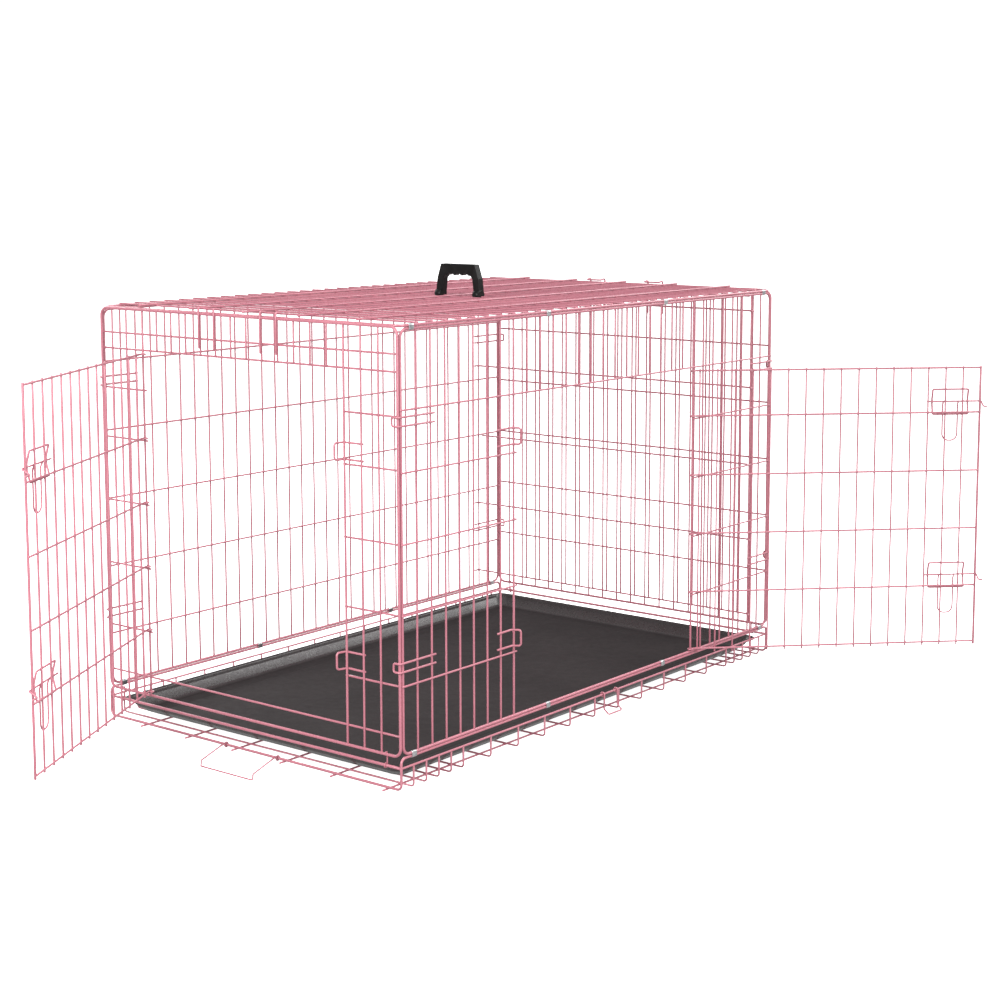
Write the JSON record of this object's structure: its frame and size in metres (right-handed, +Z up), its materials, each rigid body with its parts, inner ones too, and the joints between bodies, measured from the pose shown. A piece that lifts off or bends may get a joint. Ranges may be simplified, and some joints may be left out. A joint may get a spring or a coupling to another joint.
{
  "type": "dog crate",
  "caption": "Folding wire dog crate with a side door and an end door on wire hinges, slide-bolt latches, a slide-out floor pan, a divider panel and a carry handle.",
  "frame": {"origin": "on the ground plane under the middle of the four panels", "axes": "+Z up; -Y towards the end that has the end door; +X towards the long side that has the side door"},
  "size_m": [1.2042, 1.8082, 0.867],
  "materials": {
    "pink_wire": "glossy powder coat",
    "clips": "satin",
    "pan": "satin moulded",
    "handle": "satin moulded"
  },
  "bodies": {
    "crate": {"floor_frame": "pink_wire", "lip_bars": "pink_wire", "floor_rim_wires": "pink_wire", "floor_cross_wires": "pink_wire", "floor_wire_upturns": "pink_wire", "floor_long_wires": "pink_wire", "right_side_frame": "pink_wire", "right_side_uprights": "pink_wire", "right_side_header_uprights": "pink_wire", "right_side_levels": "pink_wire", "left_side_frame": "pink_wire", "left_side_uprights": "pink_wire", "left_side_levels": "pink_wire", "front_end_frame": "pink_wire", "front_end_uprights": "pink_wire", "front_end_header_uprights": "pink_wire", "front_end_levels": "pink_wire", "rear_end_frame": "pink_wire", "rear_end_uprights": "pink_wire", "rear_end_levels": "pink_wire", "top_frame": "pink_wire", "top_cross_wires": "pink_wire", "top_long_wires": "pink_wire", "front_top_hooks": "pink_wire", "rear_top_hooks": "pink_wire", "right_lock_hooks": "pink_wire", "left_lock_hooks": "pink_wire", "right_bottom_clips": "clips", "left_bottom_clips": "clips", "top_clips": "clips", "end_panel_pivots": "pink_wire", "side_door_keepers": "pink_wire", "end_door_keepers": "pink_wire", "divider_uprights": "pink_wire", "divider_plain_levels": "pink_wire", "divider_hooked_levels": "pink_wire"},
    "side_door": {"side_door_levels": "pink_wire", "side_door_uprights": "pink_wire", "side_door_edge_wire": "pink_wire", "side_door_latch_brackets": "pink_wire"},
    "end_door": {"end_door_levels": "pink_wire", "end_door_uprights": "pink_wire", "end_door_edge_wire": "pink_wire", "end_door_latch_brackets": "pink_wire"},
    "side_door_lower_bolt": {"side_door_lower_bolt": "pink_wire"},
    "side_door_upper_bolt": {"side_door_upper_bolt": "pink_wire"},
    "end_door_lower_bolt": {"end_door_lower_bolt": "pink_wire"},
    "end_door_upper_bolt": {"end_door_upper_bolt": "pink_wire"},
    "floor_pan": {"floor_pan": "pan"},
    "pan_stop": {"pan_stop": "pink_wire"},
    "fold_latch": {"fold_latch": "pink_wire"},
    "carry_handle": {"carry_handle": "handle"}
  },
  "joints": [
    {"name": "side_door_hinge", "type": "hinge", "parent": "crate", "child": "side_door", "pos_m": [0.37525, 0.297, 0.36], "axis": [0, 0, 1], "range_deg": [-133, 0.8]},
    {"name": "end_door_hinge", "type": "hinge", "parent": "crate", "child": "end_door", "pos_m": [-0.259, -0.6025, 0.39], "axis": [0, 0, -1], "range_deg": [-60.3, 80]},
    {"name": "side_door_lower_bolt_slide", "type": "slide", "parent": "side_door", "child": "side_door_lower_bolt", "axis": [0.7157, 0.6984, 0], "range_m": [0, 0.012]},
    {"name": "side_door_upper_bolt_slide", "type": "slide", "parent": "side_door", "child": "side_door_upper_bolt", "axis": [0.7157, 0.6984, 0], "range_m": [0, 0.012]},
    {"name": "end_door_lower_bolt_slide", "type": "slide", "parent": "end_door", "child": "end_door_lower_bolt", "axis": [0.4756, -0.8796, 0], "range_m": [0, 0.013]},
    {"name": "end_door_upper_bolt_slide", "type": "slide", "parent": "end_door", "child": "end_door_upper_bolt", "axis": [0.4756, -0.8796, 0], "range_m": [0, 0.013]},
    {"name": "pan_slide", "type": "slide", "parent": "crate", "child": "floor_pan", "axis": [0, -1, 0], "range_m": [0, 1.15]},
    {"name": "pan_stop_hinge", "type": "hinge", "parent": "crate", "child": "pan_stop", "pos_m": [0, -0.6025, 0.0055], "axis": [1, 0, 0], "range_deg": [-70, 0]},
    {"name": "fold_latch_hinge", "type": "hinge", "parent": "crate", "child": "fold_latch", "pos_m": [0.37525, 0.008, 0.0435], "axis": [0, -1, 0], "range_deg": [0, 95]},
    {"name": "handle_fold", "type": "hinge", "parent": "crate", "child": "carry_handle", "pos_m": [-0.003, 0.012, 0.8022], "axis": [1, 0, 0], "range_deg": [-65, 65]}
  ]
}
